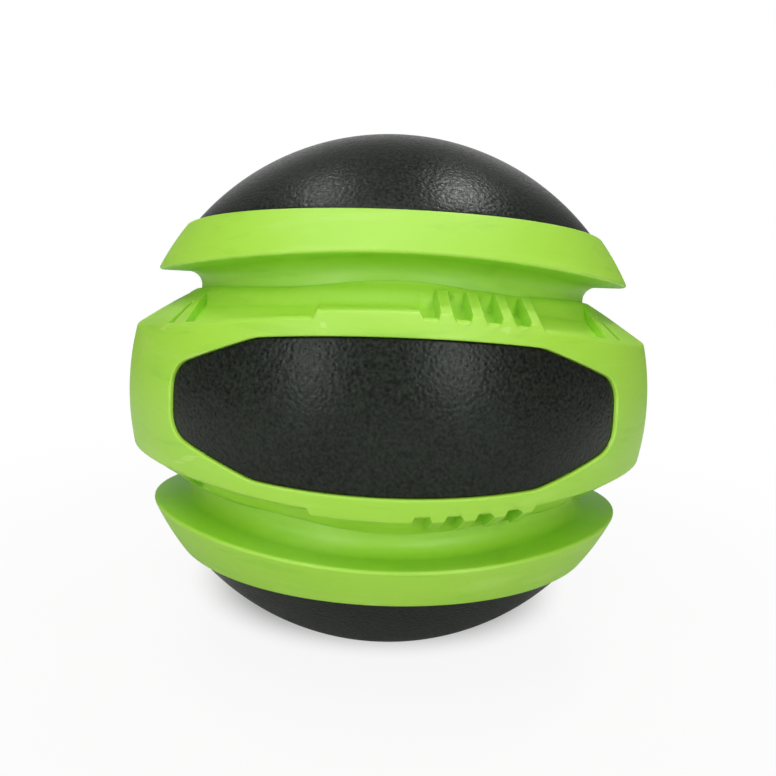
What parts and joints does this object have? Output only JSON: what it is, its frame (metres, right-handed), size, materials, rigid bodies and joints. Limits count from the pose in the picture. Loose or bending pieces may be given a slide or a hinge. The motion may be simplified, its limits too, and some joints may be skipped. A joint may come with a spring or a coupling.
{
  "type": "bouncing dog ball",
  "caption": "Ball-shaped dog toy: hollow rubber core in a grooved elastic armour, with textured pads in its windows and textured caps at its poles.",
  "frame": {"origin": "centre of the ball", "axes": "+Z through the poles, from the lower ring to the upper ring; the front window faces -Y"},
  "size_m": [0.0886, 0.0891, 0.0876],
  "materials": {
    "lime_rubber": "smooth moulded thermoplastic rubber, satin",
    "black_grained_foam": "fine spark-textured foamed rubber, matt with a soft sheen",
    "core_rubber": "plain moulded rubber, matt"
  },
  "bodies": {
    "root": {"core_upper_half": "core_rubber", "core_lower_half": "core_rubber", "belt": "lime_rubber", "upper_ring": "lime_rubber", "lower_ring": "lime_rubber", "top_cap": "black_grained_foam", "bottom_cap": "black_grained_foam", "window_pad_front": "black_grained_foam", "window_pad_right": "black_grained_foam", "window_pad_left": "black_grained_foam"}
  },
  "joints": []
}
